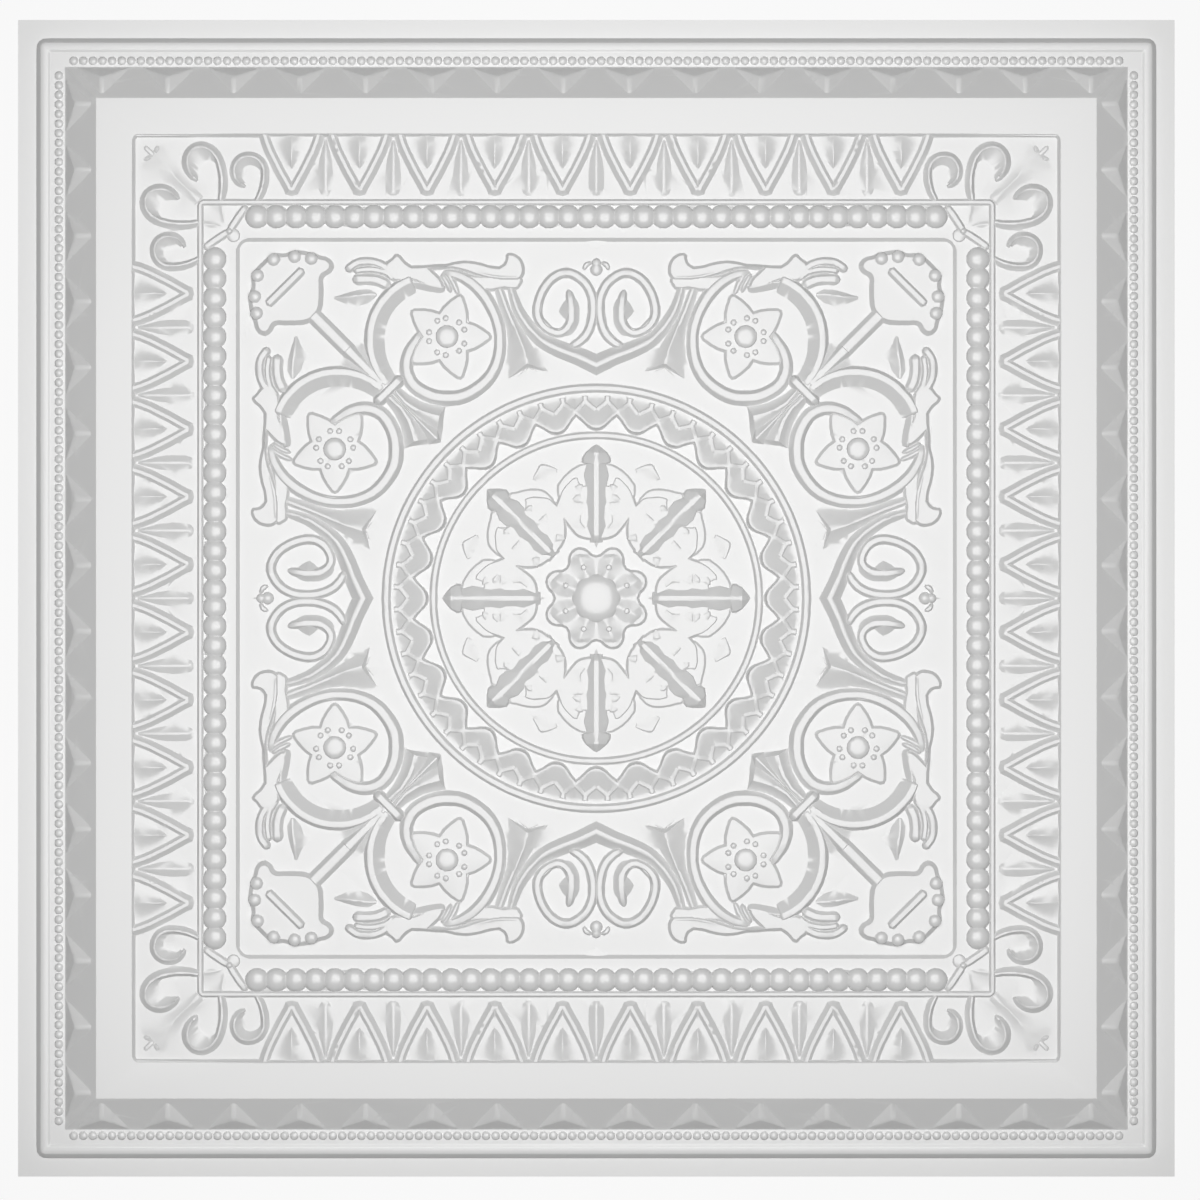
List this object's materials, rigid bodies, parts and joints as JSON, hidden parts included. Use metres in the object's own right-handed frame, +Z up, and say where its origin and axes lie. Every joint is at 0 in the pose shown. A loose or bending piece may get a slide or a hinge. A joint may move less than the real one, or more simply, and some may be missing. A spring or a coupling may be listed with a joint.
{
  "type": "pvc ceiling tile",
  "caption": "Square white PVC lay-in ceiling tile, thin vacuum-formed sheet with a flat rim, stepped frame, bead and tongue borders and a raised central medallion.",
  "frame": {"origin": "centre of the square tile, on the floor that the back of its rim lies on", "axes": "+Z up out of the ornamented face, +X and +Y along the sides"},
  "size_m": [0.603, 0.603, 0.0171],
  "materials": {
    "pvc": "matte white with a faint sheen"
  },
  "bodies": {
    "root": {"ceiling_tile": "pvc"}
  },
  "joints": []
}
